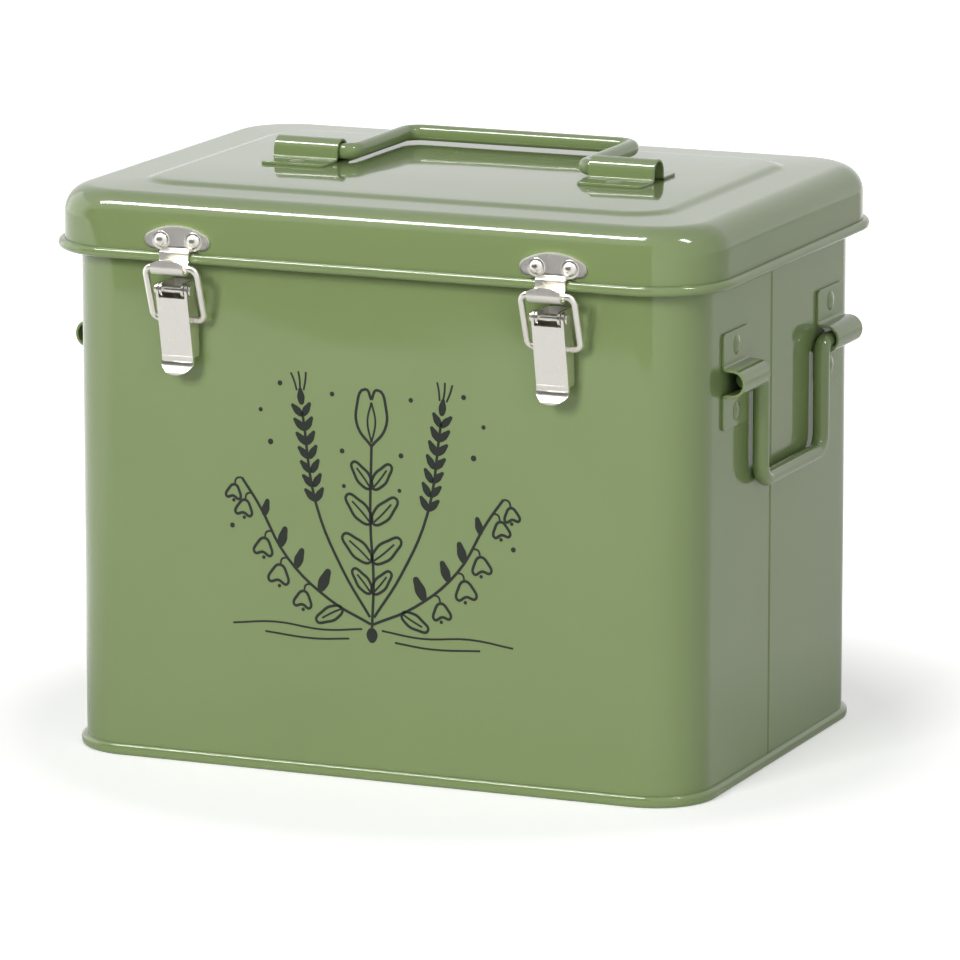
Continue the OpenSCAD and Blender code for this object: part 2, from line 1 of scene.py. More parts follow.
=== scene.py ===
import bpy
import bmesh
import json
import math
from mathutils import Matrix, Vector


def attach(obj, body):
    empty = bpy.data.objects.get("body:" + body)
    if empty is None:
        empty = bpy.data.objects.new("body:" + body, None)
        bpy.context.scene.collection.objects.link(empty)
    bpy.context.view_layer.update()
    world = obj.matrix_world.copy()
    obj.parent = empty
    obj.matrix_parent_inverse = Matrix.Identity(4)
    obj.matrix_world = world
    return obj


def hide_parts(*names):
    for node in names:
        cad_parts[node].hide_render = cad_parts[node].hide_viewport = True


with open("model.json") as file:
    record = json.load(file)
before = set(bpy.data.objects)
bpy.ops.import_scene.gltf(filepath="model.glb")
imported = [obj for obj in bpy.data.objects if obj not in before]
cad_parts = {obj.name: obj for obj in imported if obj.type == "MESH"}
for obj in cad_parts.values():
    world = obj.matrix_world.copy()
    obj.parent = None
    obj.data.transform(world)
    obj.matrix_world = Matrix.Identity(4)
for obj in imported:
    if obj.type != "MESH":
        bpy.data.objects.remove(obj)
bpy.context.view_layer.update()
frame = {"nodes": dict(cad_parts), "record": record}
cadNodes = frame["nodes"]
mm = 0.001     # sizes are written in millimetres and places of lamps and camera in metres
halves = ((-1, "left"), (1, "right"))

# Camera: long lens from front right, a little above the lid
cameraSettings = {
    "place": (0.795027, -1.866200, 0.488941),
    "turn": (78.4267, 0, 22.9705),
    "lens": 268.98,
}
cameraData = bpy.data.cameras.new("productCamera")
cameraData.lens = cameraSettings["lens"]
cameraData.sensor_width = 36
cameraData.clip_end = 30
camera = bpy.data.objects.new("productCamera", cameraData)
camera.location = cameraSettings["place"]
camera.rotation_euler = [math.radians(a) for a in cameraSettings["turn"]]
bpy.context.collection.objects.link(camera)
bpy.context.scene.camera = camera
bpy.context.scene.view_settings.view_transform = "Standard"
print("camera ready")


# Small helpers
def hexToLinear(code):
    parts = [int(code[i:i + 2], 16) / 255 for i in (1, 3, 5)]
    return tuple(c / 12.92 if c <= 0.04045 else ((c + 0.055) / 1.055) ** 2.4 for c in parts) + (1,)


def addNode(material, kind, settings=None, links=None):
    node = material.node_tree.nodes.new(kind)
    for key, value in (settings or {}).items():
        if isinstance(key, int) or key in node.inputs:
            node.inputs[key].default_value = value
        else:
            setattr(node, key, value)
    for key, source in (links or {}).items():
        material.node_tree.links.new(source, node.inputs[key])
    return node


def newMaterial(name):
    material = bpy.data.materials.new(name)
    material.use_nodes = True
    material.node_tree.nodes.clear()
    return material


def useOnly(piece):
    bpy.ops.object.select_all(action="DESELECT")
    piece.select_set(True)
    bpy.context.view_layer.objects.active = piece


def startEdit(piece, mode="FACE"):
    useOnly(piece)
    bpy.ops.object.mode_set(mode="EDIT")
    bpy.ops.mesh.select_mode(type=mode)
    bpy.ops.mesh.select_all(action="DESELECT")


def pick(piece, kind, test):
    # selects the verts, edges or faces for which test(middle, part) holds, in millimetres
    work = bmesh.from_edit_mesh(piece.data)
    for part in getattr(work, kind):
        if kind == "verts":
            middle = part.co
        elif kind == "edges":
            middle = (part.verts[0].co + part.verts[1].co) / 2
        else:
            middle = part.calc_center_median()
        if test(middle / mm, part):
            part.select_set(True)
    work.select_flush_mode()
    bmesh.update_edit_mesh(piece.data)


def same(a, b, slack=0.01):
    # for two places in millimetres
    return abs(a - b) < slack


def isLevel(edge):
    return same(edge.verts[0].co.z / mm, edge.verts[1].co.z / mm, 0.001)


def isCap(face):
    # a flat face over the whole rounded outline, with all its corner points
    return len(face.verts) > 20


def endEdit():
    bpy.ops.object.mode_set(mode="OBJECT")


def addModifier(piece, kind, settings):
    # adds it and applies it at once
    useOnly(piece)
    modifier = piece.modifiers.new(kind.lower(), kind)
    for key, value in settings.items():
        setattr(modifier, key, value)
    bpy.ops.object.modifier_apply(modifier=modifier.name)


def joinPieces(name, pieces):
    useOnly(pieces[0])
    for piece in pieces:
        piece.select_set(True)
    bpy.ops.object.join()
    joined = bpy.context.object
    joined.name = name
    joined.data.name = name
    return joined


def smooth(piece, angle):
    useOnly(piece)
    bpy.ops.object.shade_smooth_by_angle(angle=math.radians(angle))


def placeInMesh(piece):
    useOnly(piece)
    bpy.ops.object.transform_apply(location=True, rotation=True, scale=True)


def finishPiece(piece, body, slot, replaced, material=None):
    useOnly(piece)
    piece.data.materials.clear()
    piece.data.materials.append(material or slotMaterial[slot])
    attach(piece, body)
    if replaced:
        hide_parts(*replaced)


# Materials
# Stoved gloss enamel on tinplate: a sprayed green coat that flows out smooth, with faint orange peel
# and the slow waves of thin sheet under it, and a hard clear gloss that mirrors what stands near it
enamelSettings = {
    "green": "#7e915e",
    "paleGreen": "#839661",
    "cloudSize": 38,      # mm between the faint clouds of the two greens
    "roughness": 0.5,
    "glossRoughness": 0.05,
    "peelSize": 1.6,      # mm between the humps of the orange peel
    "peelDeep": 0.01,     # mm
    "waveSize": 55,       # mm between the waves of the sheet
    "waveDeep": 0.8,      # mm
}


def makeEnamel(name, settings):
    material = newMaterial(name)
    place = addNode(material, "ShaderNodeTexCoord").outputs["Object"]
    cloud = addNode(material, "ShaderNodeTexNoise",
                    {"Scale": 1 / (settings["cloudSize"] * mm), "Detail": 3.0, "Roughness": 0.55},
                    {"Vector": place})
    tint = addNode(material, "ShaderNodeMix", {"data_type": "RGBA"}, {0: cloud.outputs["Fac"]})
    tint.inputs[6].default_value = hexToLinear(settings["green"])
    tint.inputs[7].default_value = hexToLinear(settings["paleGreen"])
    peel = addNode(material, "ShaderNodeTexNoise",
                   {"Scale": 1 / (settings["peelSize"] * mm), "Detail": 1.0}, {"Vector": place})
    wave = addNode(material, "ShaderNodeTexNoise",
                   {"Scale": 1 / (settings["waveSize"] * mm), "Detail": 1.0}, {"Vector": place})
    waveBump = addNode(material, "ShaderNodeBump",
                       {"Strength": 0.5, "Distance": settings["waveDeep"] * mm},
                       {"Height": wave.outputs["Fac"]})
    peelBump = addNode(material, "ShaderNodeBump",
                       {"Strength": 0.35, "Distance": settings["peelDeep"] * mm},
                       {"Height": peel.outputs["Fac"], "Normal": waveBump.outputs["Normal"]})
    shader = addNode(material, "ShaderNodeBsdfPrincipled",
                     {"Roughness": settings["roughness"], "IOR": 1.5, "Specular IOR Level": 0.1,
                      "Coat Weight": 1.0, "Coat IOR": 1.5,
                      "Coat Roughness": settings["glossRoughness"]},
                     {"Base Color": tint.outputs[2], "Normal": peelBump.outputs["Normal"],
                      "Coat Normal": peelBump.outputs["Normal"]})
    addNode(material, "ShaderNodeOutputMaterial", {}, {"Surface": shader.outputs["BSDF"]})
    return material


# Bright nickel plate on stamped mild steel: rolled and tumbled, so it mirrors its surroundings
# through a very fine grain that runs along each strip
nickelSettings = {
    "colour": "#efece5",
    "roughness": 0.3,
    "roughSpread": (0.75, 1.3),   # shares of that roughness, between the grain's lows and highs
    "grain": (0.35, 0.35, 9),     # mm across, across and along the rolling direction
    "grainDeep": 0.01,            # mm
}


def makeNickel(name, settings):
    material = newMaterial(name)
    place = addNode(material, "ShaderNodeTexCoord").outputs["Object"]
    stretch = addNode(material, "ShaderNodeMapping",
                      {"Scale": tuple(1 / (size * mm) for size in settings["grain"])},
                      {"Vector": place})
    grain = addNode(material, "ShaderNodeTexNoise", {"Scale": 1.0, "Detail": 2.0},
                    {"Vector": stretch.outputs["Vector"]})
    low, high = [settings["roughness"] * share for share in settings["roughSpread"]]
    spread = addNode(material, "ShaderNodeMapRange", {"To Min": low, "To Max": high},
                     {"Value": grain.outputs["Fac"]})
    bump = addNode(material, "ShaderNodeBump",
                   {"Strength": 0.12, "Distance": settings["grainDeep"] * mm},
                   {"Height": grain.outputs["Fac"]})
    shader = addNode(material, "ShaderNodeBsdfPrincipled",
                     {"Base Color": hexToLinear(settings["colour"]), "Metallic": 1.0},
                     {"Roughness": spread.outputs["Result"], "Normal": bump.outputs["Normal"]})
    addNode(material, "ShaderNodeOutputMaterial", {}, {"Surface": shader.outputs["BSDF"]})
    return material


# Screen-printed enamel ink, charcoal, dry to a half matt film with a slightly uneven pull
inkSettings = {
    "colour": "#1d211c",
    "thinColour": "#262b24",
    "roughness": 0.5,
    "pullSize": 0.7,      # mm between thick and thin
}


def makeInk(name, settings):
    material = newMaterial(name)
    place = addNode(material, "ShaderNodeTexCoord").outputs["Object"]
    pull = addNode(material, "ShaderNodeTexNoise",
                   {"Scale": 1 / (settings["pullSize"] * mm), "Detail": 2.0}, {"Vector": place})
    tone = addNode(material, "ShaderNodeMix", {"data_type": "RGBA"}, {0: pull.outputs["Fac"]})
    tone.inputs[6].default_value = hexToLinear(settings["colour"])
    tone.inputs[7].default_value = hexToLinear(settings["thinColour"])
    shader = addNode(material, "ShaderNodeBsdfPrincipled",
                     {"Roughness": settings["roughness"], "IOR": 1.5}, {"Base Color": tone.outputs[2]})
    addNode(material, "ShaderNodeOutputMaterial", {}, {"Surface": shader.outputs["BSDF"]})
    return material


stovedEnamel = makeEnamel("stovedGreenEnamel", enamelSettings)
nickelPlate = makeNickel("nickelPlatedSteel", nickelSettings)
printInk = makeInk("screenPrintInk", inkSettings)
slotMaterial = {"painted_steel": stovedEnamel, "plated_steel": nickelPlate}
for row in frame["record"]["subparts"]:
    cadNodes[row["node"]].data.materials.clear()
    cadNodes[row["node"]].data.materials.append(slotMaterial[row["material_slot"]])
print("materials ready")

# Studio
studioSettings = {
    "floorSize": 6,
    "floorColour": "#e6e6e5",
    "floorLift": (0.48, 0.98),      # share of white that the camera sees on the floor, near and far; the near share is lower, so the floor round the tin keeps its real shadow and is also greyed there as a painted shade
    "nearShadeFade": (0.125, 0.2),      # the two distances, m; inside the first, the low lift leaves a painted shade on the floor round the tin
    "glossShare": (0.36, 1.0),      # share of that lift which mirrors in the tin, front and left
    "glossSide": (-1, 0.5, 0),      # the way it goes over from one to the other
    "glossFade": (0.1, 0.3),        # and where, m along that way
    "worldLight": 0.25,             # share of the white room that lights; all of it shows
    "flagCorner": (-1.5, -0.73, 0),
    "flagSize": (1.75, 0.75),
    "flagShade": "#646462",
}

# lamps: name, place, target, size, power; a level one keeps its long side along X
levelStrips = (
    ("stripOverhead", (-0.48, -0.43, 1.19), (-0.48, -0.05, 0.12), (0.92, 0.2), 22),
    ("stripRight", (0.85, -0.13, 1.19), (0.85, -0.05, 0.12), (0.45, 0.16), 5),
)
glossCards = (
    ("cardLeft", (-1.6, 0.25, 0.5), (-0.1, 0.25, 0.1), (1.6, 1.2), 5),
)
softboxes = (
    ("softboxFront", (-0.35, -2.2, 1.12), (0, 0, 0.08), (0.7, 0.7), 33),
    ("softboxRight", (1.5, -1.3, 0.5), (0, 0, 0.06), (0.9, 0.9), 8),
    ("softboxBack", (-0.5, 2.0, 1.3), (0, 0, 0.16), (1.6, 1.0), 2),
)


def makeFloor(settings):
    bpy.ops.mesh.primitive_plane_add(size=settings["floorSize"], location=(0, 0, 0))
    floor = bpy.context.object
    floor.name = "studioFloor"
    material = newMaterial("palePaperSweep")
    seen = addNode(material, "ShaderNodeLightPath")
    spot = addNode(material, "ShaderNodeTexCoord").outputs["Object"]
    toLeft = addNode(material, "ShaderNodeVectorMath",
                     {"operation": "DOT_PRODUCT", 1: settings["glossSide"]}, {0: spot})
    share = addNode(material, "ShaderNodeMapRange",
                    {"From Min": settings["glossFade"][0], "From Max": settings["glossFade"][1],
                     "To Min": settings["glossShare"][0], "To Max": settings["glossShare"][1]},
                    {"Value": toLeft.outputs["Value"]})
    gloss = addNode(material, "ShaderNodeMath", {"operation": "MULTIPLY"},
                    {0: seen.outputs["Is Glossy Ray"], 1: share.outputs["Result"]})
    direct = addNode(material, "ShaderNodeMath", {"operation": "MAXIMUM"},
                     {0: seen.outputs["Is Camera Ray"], 1: gloss.outputs[0]})
    away = addNode(material, "ShaderNodeVectorMath", {"operation": "LENGTH"}, {0: spot})
    # the lift is lower near the tin: its real shadow shows there, and the lit floor round the foot
    # turns grey as a painted shade
    nearShadeLift = addNode(material, "ShaderNodeMapRange",
                   {"From Min": settings["nearShadeFade"][0], "From Max": settings["nearShadeFade"][1],
                    "To Min": settings["floorLift"][0], "To Max": settings["floorLift"][1]},
                   {"Value": away.outputs["Value"]})
    lift = addNode(material, "ShaderNodeMath", {"operation": "MULTIPLY"},
                   {0: direct.outputs[0], 1: nearShadeLift.outputs["Result"]})
    paper = addNode(material, "ShaderNodeBsdfDiffuse",
                    {"Color": hexToLinear(settings["floorColour"])})
    glow = addNode(material, "ShaderNodeEmission", {"Color": (1, 1, 1, 1)},
                   {"Strength": lift.outputs[0]})
    both = addNode(material, "ShaderNodeAddShader", {}, {0: paper.outputs[0], 1: glow.outputs[0]})
    addNode(material, "ShaderNodeOutputMaterial", {}, {"Surface": both.outputs[0]})
    floor.data.materials.append(material)


def makeWorld(settings):
    world = bpy.data.worlds.new("whiteRoom")
    bpy.context.scene.world = world
    world.use_nodes = True
    world.node_tree.nodes.clear()
    seen = addNode(world, "ShaderNodeLightPath")
    direct = addNode(world, "ShaderNodeMath", {"operation": "MAXIMUM"},
                     {0: seen.outputs["Is Camera Ray"], 1: seen.outputs["Is Glossy Ray"]})
    strength = addNode(world, "ShaderNodeMapRange", {"To Min": settings["worldLight"], "To Max": 1.0},
                       {"Value": direct.outputs[0]})
    sky = addNode(world, "ShaderNodeBackground", {"Color": (1, 1, 1, 1)},
                  {"Strength": strength.outputs["Result"]})
    addNode(world, "ShaderNodeOutputWorld", {}, {"Surface": sky.outputs[0]})


def addFlag(name, corner, size, shade):
    # a dark card that stands out of the camera's sight and only shows in the gloss
    bpy.ops.mesh.primitive_plane_add(size=1, location=(0, 0, 0))
    flag = bpy.context.object
    flag.name = name
    width, height = size
    bpy.ops.object.mode_set(mode="EDIT")
    bpy.ops.transform.resize(value=(width, height, 1))
    endEdit()
    flag.rotation_euler = (math.radians(90), 0, 0)
    flag.location = (corner[0] + width / 2, corner[1], corner[2] + height / 2)
    material = newMaterial(name)
    cloth = addNode(material, "ShaderNodeBsdfDiffuse", {"Color": hexToLinear(shade)})
    addNode(material, "ShaderNodeOutputMaterial", {}, {"Surface": cloth.outputs[0]})
    flag.data.materials.append(material)
    flag.visible_camera = False
    flag.visible_shadow = False
    flag.visible_diffuse = False


def addLamp(name, place, target, size, power, level=False):
    lampData = bpy.data.lights.new(name, "AREA")
    lampData.shape = "RECTANGLE"
    lampData.size, lampData.size_y = size
    lampData.energy = power
    lamp = bpy.data.objects.new(name, lampData)
    lamp.location = place
    aim = Vector(target) - Vector(place)
    if level:
        lamp.rotation_euler = (math.atan2(aim.y, -aim.z), 0, 0)
    else:
        lamp.rotation_euler = aim.to_track_quat("-Z", "Y").to_euler()
    lamp.visible_camera = False
    bpy.context.collection.objects.link(lamp)
    return lamp


makeFloor(studioSettings)
makeWorld(studioSettings)
addFlag("frontFlag", studioSettings["flagCorner"], studioSettings["flagSize"],
        studioSettings["flagShade"])
# strips and card only show in the gloss, and the softboxes only light
glossLamps = [addLamp(*row, level=True) for row in levelStrips]
glossLamps += [addLamp(*row) for row in glossCards]
for lamp in glossLamps:
    lamp.visible_diffuse = False
for lamp in [addLamp(*row) for row in softboxes]:
    lamp.visible_glossy = False
print("studio ready")


# Sheet-metal shells
cornerSteps = 24


def roundedBox(name, width, depth, low, high, radius):
    bpy.ops.mesh.primitive_cube_add(size=1, location=(0, 0, (low + high) / 2 * mm))
    piece = bpy.context.object
    piece.name = name
    piece.scale = (width * mm, depth * mm, (high - low) * mm)
    placeInMesh(piece)
    startEdit(piece, "EDGE")
    pick(piece, "edges", lambda middle, edge: same(middle.z, (low + high) / 2))
    bpy.ops.mesh.bevel(offset=radius * mm, segments=cornerSteps, affect="EDGES")
    endEdit()
    return piece


def roundedOutline(name, width, depth, height, radius):
    bpy.ops.mesh.primitive_plane_add(size=1, location=(0, 0, height * mm))
    piece = bpy.context.object
    piece.name = name
    piece.scale = (width * mm, depth * mm, 1)
    placeInMesh(piece)
    startEdit(piece, "VERT")
    bpy.ops.mesh.select_all(action="SELECT")
    bpy.ops.mesh.bevel(offset=radius * mm, segments=cornerSteps, affect="VERTICES")
    endEdit()
    return piece


def thicken(piece, sheet):
    addModifier(piece, "SOLIDIFY", {"thickness": sheet * mm, "offset": -1, "use_even_offset": True})


def faceOutwards():
    bpy.ops.mesh.select_all(action="SELECT")
    bpy.ops.mesh.normals_make_consistent(inside=False)


def rolledBead(name, width, depth, height, radius, wire):
    # a round bead of radius wire that follows a rounded outline
    startEdit(roundedOutline(name, width, depth, height, radius))
    bpy.ops.mesh.select_all(action="SELECT")
    bpy.ops.mesh.delete(type="ONLY_FACE")
    endEdit()
    bpy.ops.object.convert(target="CURVE")
    bead = bpy.context.object.data
    bead.bevel_depth = wire * mm
    bead.bevel_resolution = 6
    bpy.ops.object.convert(target="MESH")
    return bpy.context.object


# Pressed lid: one drawn sheet with a raised panel, its edge rolled into a bead
lidSettings = {
    "width": 201.2, "depth": 146.2, "hem": 145.0325, "top": 163.3325, "corner": 21.85,
    "shoulder": 8, "panelInset": 19.7, "panelCorner": 14, "panelSlope": 2.6, "panelRise": 1,
    "panelSoft": 1.1, "sheet": 0.6, "hemOut": 1.9, "hemRadius": 1.45,
}


def makeLid(settings):
    top, bottom = settings["top"], settings["hem"] + settings["hemRadius"]
    lid = roundedBox("lidShell", settings["width"], settings["depth"], bottom, top, settings["corner"])
    startEdit(lid)
    pick(lid, "faces", lambda middle, face: same(middle.z, bottom))
    bpy.ops.mesh.delete(type="FACE")
    bpy.ops.mesh.select_mode(type="EDGE")
    pick(lid, "edges", lambda middle, edge: same(middle.z, top))
    bpy.ops.mesh.bevel(offset=settings["shoulder"] * mm, segments=14, affect="EDGES")
    bpy.ops.mesh.select_mode(type="FACE")
    bpy.ops.mesh.select_all(action="DESELECT")
    pick(lid, "faces", lambda middle, face: isCap(face))
    bpy.ops.mesh.delete(type="FACE")
    endEdit()
    inset = settings["panelInset"]
    panelX = settings["width"] / 2 - inset
    panelY = settings["depth"] / 2 - inset
    panel = roundedOutline("lidPanel", 2 * panelX, 2 * panelY, top, settings["panelCorner"])
    startEdit(panel)
    bpy.ops.mesh.select_all(action="SELECT")
    bpy.ops.mesh.inset(thickness=settings["panelSlope"] * mm, depth=settings["panelRise"] * mm)
    endEdit()
    lid = joinPieces("lidShell", [lid, panel])
    startEdit(lid, "EDGE")
    pick(lid, "edges", lambda middle, edge: edge.is_boundary and same(middle.z, top))
    bpy.ops.mesh.bridge_edge_loops()
    bpy.ops.mesh.select_all(action="DESELECT")

    def onPanelEdge(middle, edge):
        inside = abs(middle.x) < panelX + 0.01 and abs(middle.y) < panelY + 0.01
        return isLevel(edge) and inside and middle.z > top - 0.01 and len(edge.link_faces) == 2

    pick(lid, "edges", onPanelEdge)
    bpy.ops.mesh.bevel(offset=settings["panelSoft"] * mm, segments=4, affect="EDGES")
    faceOutwards()
    endEdit()
    thicken(lid, settings["sheet"])
    bead = 2 * (settings["hemOut"] - settings["hemRadius"])
    hem = rolledBead("lidHem", settings["width"] + bead, settings["depth"] + bead, bottom,
                     settings["corner"] + bead / 2, settings["hemRadius"])
    lid = joinPieces("lidShell", [lid, hem])
    smooth(lid, 40)
    finishPiece(lid, "lid", "painted_steel", ["lid_shell"])


makeLid(lidSettings)
print("lid ready")

# Body: one sheet bent round four corners and locked to itself on the right, with a rolled rim
bodySettings = {
    "width": 191.5, "depth": 136.5, "rim": 159.2, "corner": 17, "sheet": 0.6, "rimRadius": 1.5,
    "seamAt": -6.4, "seamWidth": 1.6, "seamDeep": 0.8,
    "foldWidth": 5, "foldThick": 1.2, "foldEdge": 0.4, "foldGap": 1, "floor": 2.6,
}


def makeBody(settings):
    low, high = settings["sheet"], settings["rim"]
    body = roundedBox("bodyShell", settings["width"], settings["depth"], low, high, settings["corner"])
    wallX = settings["width"] / 2
    seam, half = settings["seamAt"], settings["seamWidth"] / 2
    startEdit(body)
    pick(body, "faces", lambda middle, face: abs(face.normal.z) > 0.9)
    bpy.ops.mesh.delete(type="FACE")
    for cut in (seam - half, seam, seam + half):
        bpy.ops.mesh.select_all(action="DESELECT")
        pick(body, "faces", lambda middle, face: same(middle.x, wallX))
        bpy.ops.mesh.bisect(plane_co=(0, cut * mm, 0), plane_no=(0, 1, 0))
    bpy.ops.mesh.select_mode(type="EDGE")
    bpy.ops.mesh.select_all(action="DESELECT")
    pick(body, "edges", lambda middle, edge: same(middle.x, wallX) and same(middle.y, seam)
         and not isLevel(edge))
    bpy.ops.transform.translate(value=(-settings["seamDeep"] * mm, 0, 0))
    faceOutwards()
    endEdit()
    thicken(body, settings["sheet"])
    out = settings["rimRadius"] - settings["sheet"]
    rim = rolledBead("bodyRim", settings["width"] + 2 * out, settings["depth"] + 2 * out, high,
                     settings["corner"] + out, settings["rimRadius"])
    insideX = wallX - settings["sheet"] - settings["foldThick"] / 2
    foldHeight = high - settings["floor"] - settings["foldGap"]
    bpy.ops.mesh.primitive_cube_add(size=1)
    fold = bpy.context.object
    fold.location = Vector((insideX, seam, (settings["floor"] + high) / 2)) * mm
    fold.scale = Vector((settings["foldThick"], settings["foldWidth"], foldHeight)) * mm
    placeInMesh(fold)
    addModifier(fold, "BEVEL", {"width": settings["foldEdge"] * mm, "segments": 3})
    body = joinPieces("bodyShell", [body, rim, fold])
    smooth(body, 30)
    finishPiece(body, "tin", "painted_steel", ["body_shell"])


makeBody(bodySettings)
print("body ready")

# Floor panel: its edge is folded round the foot of the walls, and the floor stands clear of the shelf
bottomSettings = {
    "width": 194.7, "depth": 139.7, "height": 3.3, "corner": 18.6, "edge": 1.2, "floor": 2.6,
    "wall": 1.9, "leg": 2.8, "under": 2, "slope": 0.05,
}


def makeBottom(settings):
    height, edgeRound = settings["height"], settings["edge"]
    panel = roundedBox("bottomPanel", settings["width"], settings["depth"], 0, height,
                       settings["corner"])
    startEdit(panel, "EDGE")
    pick(panel, "edges", lambda middle, edge: isLevel(edge))
    bpy.ops.mesh.bevel(offset=edgeRound * mm, segments=5, affect="EDGES")
    bpy.ops.mesh.select_mode(type="FACE")
    for level, reach, sink in ((height, settings["wall"], height - settings["floor"]),
                               (0, settings["leg"], settings["under"])):
        bpy.ops.mesh.select_all(action="DESELECT")
        pick(panel, "faces", lambda middle, face: isCap(face) and same(middle.z, level))
        bpy.ops.mesh.inset(thickness=(reach - edgeRound) * mm)
        bpy.ops.mesh.inset(thickness=settings["slope"] * mm, depth=-sink * mm)
    endEdit()
    smooth(panel, 35)
    finishPiece(panel, "tin", "painted_steel", ["bottom_panel"])


makeBottom(bottomSettings)
print("bottom ready")


# Rods, brackets and rivets
rodSides = 24


def spinOn(centre, degrees, steps=10):
    # turns the selection about a line along Y
    bpy.ops.mesh.spin(steps=steps, angle=math.radians(degrees), center=Vector(centre) * mm,
                      axis=(0, 1, 0))


def pushOn(x, z):
    bpy.ops.mesh.extrude_region_move(TRANSFORM_OT_translate={"value": (x * mm, 0, z * mm)})


def mirrorHalf(piece):
    addModifier(piece, "MIRROR", {"use_axis": (True, False, False), "merge_threshold": 0.01 * mm})


def startRod(name, radius, x):
    bpy.ops.mesh.primitive_circle_add(vertices=rodSides, radius=radius * mm, fill_type="NGON",
                                      location=(x * mm, 0, 0), rotation=(0, math.radians(90), 0))
    rod = bpy.context.object
    rod.name = name
    placeInMesh(rod)
    startEdit(rod)
    bpy.ops.mesh.select_all(action="SELECT")
    return rod


def finishRod(rod, soften):
    # takes off the face on the middle plane, mirrors the half and rounds off the cut end
    bpy.ops.mesh.delete(type="FACE")
    endEdit()
    mirrorHalf(rod)
    startEdit(rod)
    faceOutwards()
    bpy.ops.mesh.select_mode(type="EDGE")
    bpy.ops.mesh.select_all(action="DESELECT")
    pick(rod, "edges", lambda middle, edge: abs(edge.verts[0].co.x) == abs(edge.verts[1].co.x)
         and any(len(face.verts) == rodSides for face in edge.link_faces))
    bpy.ops.mesh.bevel(offset=soften * mm, segments=4, affect="EDGES")
    endEdit()
    smooth(rod, 40)


def placeCopy(piece, name, place, turn):
    copy = piece.copy()
    copy.data = piece.data.copy()
    copy.name = name
    bpy.context.collection.objects.link(copy)
    copy.rotation_euler = [math.radians(a) for a in turn]
    copy.location = Vector(place) * mm
    placeInMesh(copy)
    return copy


def dropMaster(piece):
    bpy.data.objects.remove(piece)


# Bails: one bent rod each, with two ends turned out into the brackets
bailSettings = {
    "rod": 2.35, "pinBend": 3.6, "gripBend": 5.2, "seat": 11, "clear": 0.3, "soften": 0.7,
    "lid": (39, 41), "side": (27.5, 31),                    # half width and reach
    "lidAt": (0, 0, 167.2325), "sideAt": (98.85, 2, 116.45),
}


def makeBail(name, settings, half, reach):
    pinBend, gripBend = settings["pinBend"], settings["gripBend"]
    arm = half - pinBend + settings["clear"]
    startX = half + settings["seat"]
    rod = startRod(name, settings["rod"], startX)
    pushOn(arm + pinBend - startX, 0)
    spinOn((arm + pinBend, 0, -pinBend), 90)
    pushOn(0, -(reach - gripBend - pinBend))
    spinOn((arm - gripBend, 0, -reach + gripBend), -90)
    pushOn(gripBend - arm, 0)
    finishRod(rod, settings["soften"])
    return rod


lidBail = makeBail("lidBailMaster", bailSettings, *bailSettings["lid"])
finishPiece(placeCopy(lidBail, "lidBail", bailSettings["lidAt"], (90, 0, 0)),
            "lid_bail", "painted_steel", ["lid_bail"])
dropMaster(lidBail)
sideBail = makeBail("sideBailMaster", bailSettings, *bailSettings["side"])
for side, word in halves:
    x, y, z = bailSettings["sideAt"]
    finishPiece(placeCopy(sideBail, "sideBail_" + word, (side * x, y, z), (0, 0, 90)),
                "side_bail_" + word, "painted_steel", ["side_bail_" + word])
dropMaster(sideBail)
print("bails ready")

# Brackets: a strip of sheet pressed into a hump over the rod, between two flanges with round corners
bracketSettings = {
    "width": 27.4, "length": 20, "sheet": 0.8, "hump": 4, "blend": 0.8, "corner": 1.6, "edge": 0.16,
    "lidHump": 2.5, "sideHump": 3.1,                        # height of each hump's centre
    "lidAt": (49, 0, 164.3325), "sideAt": (95.75, 2, 117), "sideSpread": 37.5,
}


def rollEdges(piece, width, angle):
    addModifier(piece, "BEVEL", {"width": width * mm, "segments": 2, "limit_method": "ANGLE",
                                 "angle_limit": math.radians(angle)})


def flattenShading(piece):
    # broad faces stay flat beside the small rolled edges
    addModifier(piece, "WEIGHTED_NORMAL", {"keep_sharp": True, "weight": 80})


def makeBracket(name, settings, rise):
    sheet, hump, blend = settings["sheet"], settings["hump"], settings["blend"]
    inner, outer = hump + blend, settings["width"] / 2
    bpy.ops.mesh.primitive_plane_add(size=1, location=((inner + outer) / 2 * mm, 0, sheet * mm))
    bracket = bpy.context.object
    bracket.name = name
    bracket.scale = ((outer - inner) * mm, settings["length"] * mm, 1)
    placeInMesh(bracket)
    startEdit(bracket, "VERT")
    pick(bracket, "verts", lambda middle, vert: same(middle.x, outer))
    bpy.ops.mesh.bevel(offset=settings["corner"] * mm, segments=6, affect="VERTICES")
    bpy.ops.mesh.select_mode(type="EDGE")
    bpy.ops.mesh.select_all(action="DESELECT")
    pick(bracket, "edges", lambda middle, edge: same(middle.x, inner))
    spinOn((inner, 0, sheet + blend), -90, 5)
    pushOn(0, rise - sheet - blend)
    spinOn((0, 0, rise), 90, 14)
    endEdit()
    mirrorHalf(bracket)
    startEdit(bracket)
    bpy.ops.mesh.select_all(action="SELECT")
    bpy.ops.mesh.remove_doubles(threshold=0.005 * mm)
    bpy.ops.mesh.normals_make_consistent(inside=False)
    endEdit()
    if bracket.data.polygons[0].normal.z < 0:
        bracket.data.flip_normals()     # an open strip can come out facing the wall
    thicken(bracket, sheet)
    rollEdges(bracket, settings["edge"], 50)
    smooth(bracket, 50)
    flattenShading(bracket)
    return bracket


